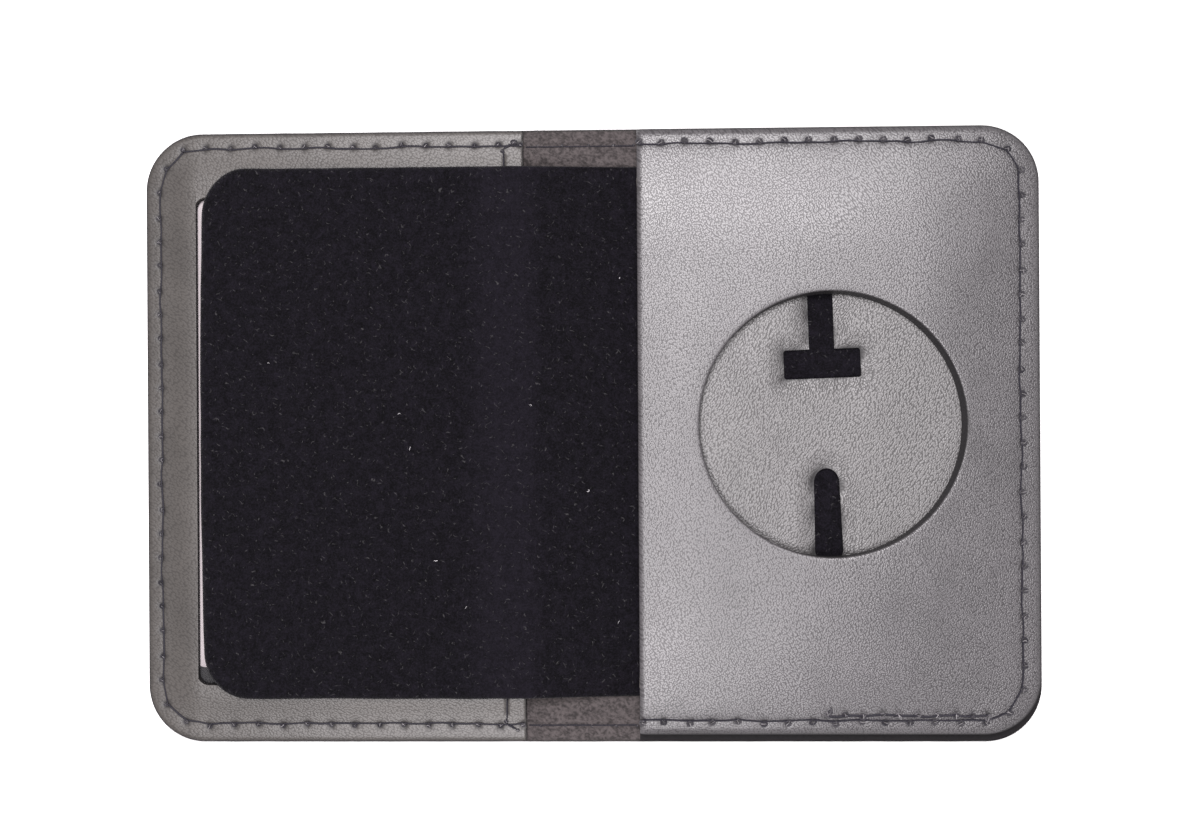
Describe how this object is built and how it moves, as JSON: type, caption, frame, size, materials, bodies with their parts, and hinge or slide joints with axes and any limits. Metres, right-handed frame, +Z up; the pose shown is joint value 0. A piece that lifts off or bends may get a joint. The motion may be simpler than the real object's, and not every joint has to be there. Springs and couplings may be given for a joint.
{
  "type": "id badge wallet",
  "caption": "Open bifold leather case with a windowed card pocket, a velvet flap over it, and a padded badge panel with a round recess and pin slots.",
  "frame": {"origin": "middle of the open case on its underside, the plane that it lies on", "axes": "+X across the open case from the ID half to the badge half, +Y up the case towards its top edge, +Z up out of the open case"},
  "size_m": [0.1574, 0.108, 0.0062],
  "materials": {
    "cover_leather": "satin",
    "spine_suede": "matte",
    "frame_leather": "satin",
    "face_leather": "satin",
    "floor_leather": "matte",
    "velvet": "matte",
    "pad_board": "matte",
    "clear_vinyl": "gloss",
    "card_plastic": "satin",
    "thread": "matte"
  },
  "bodies": {
    "id_half": {"cover_left": "cover_leather", "id_frame": "frame_leather", "id_window": "clear_vinyl", "window_seam": "thread", "seam_left": "thread", "thread_tails_left": "thread", "flap_band": "velvet"},
    "card": {"id_card": "card_plastic"},
    "flap": {"flap_velvet_back": "velvet", "flap_board": "pad_board", "flap_velvet_top": "velvet"},
    "spine": {"spine": "spine_suede", "spine_seam": "thread"},
    "badge_half": {"cover_right": "cover_leather", "badge_base": "floor_leather", "badge_pad": "pad_board", "badge_face": "face_leather", "flap_anchor": "velvet", "seam_right": "thread", "backstitch": "thread", "thread_tail_right": "thread"}
  },
  "joints": [
    {"name": "fold_1", "type": "hinge", "parent": "id_half", "child": "spine", "pos_m": [-0.0076, 0, 0.0014], "axis": [0, -1, 0], "range_deg": [0, 90], "deforming": ["flap_band", "flap_velvet_back", "flap_board", "flap_velvet_top", "id_card"]},
    {"name": "fold_2", "type": "hinge", "parent": "spine", "child": "badge_half", "pos_m": [0.0044, 0, 0.0014], "axis": [0, -1, 0], "range_deg": [0, 90]},
    {"name": "flap_lift", "type": "hinge", "parent": "id_half", "child": "flap", "pos_m": [-0.0116, 0, 0.00536], "axis": [0, -1, 0], "range_deg": [-165, 0]},
    {"name": "card_slide", "type": "slide", "parent": "id_half", "child": "card", "axis": [-1, 0, 0], "range_m": [-0.018, 0]}
  ],
  "couplings": [
    {"joint": "fold_2", "follows": "fold_1", "ratio": 1}
  ]
}
